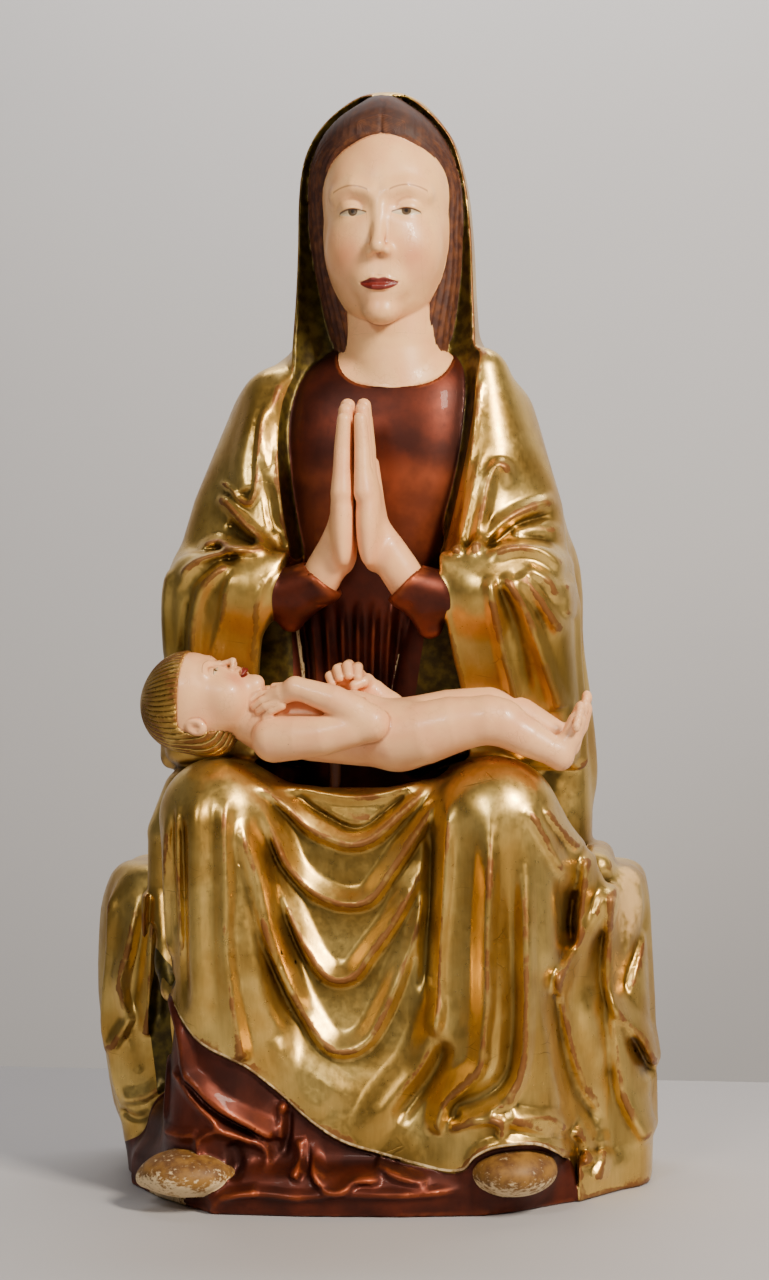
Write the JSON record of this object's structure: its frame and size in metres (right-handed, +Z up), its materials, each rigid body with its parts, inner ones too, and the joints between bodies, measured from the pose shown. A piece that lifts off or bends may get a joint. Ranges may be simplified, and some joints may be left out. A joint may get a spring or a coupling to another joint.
{
  "type": "enthroned madonna statue",
  "caption": "Carved, gilded and painted wooden statue of a seated madonna in a veil and mantle, hands joined in prayer, with a child lying across her knees.",
  "frame": {"origin": "on the underside, below the middle of the seated figure", "axes": "+Z up, the figure faces -Y, +X to the right of someone who looks at it"},
  "size_m": [0.5256, 0.3392, 0.996],
  "materials": {
    "figure": "carved wood, burnished gold leaf over red clay on the mantle, dark red lacquered gown, painted flesh and hair",
    "hands": "carved wood with satin flesh paint",
    "child": "carved wood with satin flesh paint and gilded hair",
    "peg": "turned dowel, stained brown"
  },
  "bodies": {
    "root": {"madonna": "figure", "right_hand": "hands", "left_hand": "hands", "child": "child", "child_peg": "peg"}
  },
  "joints": []
}
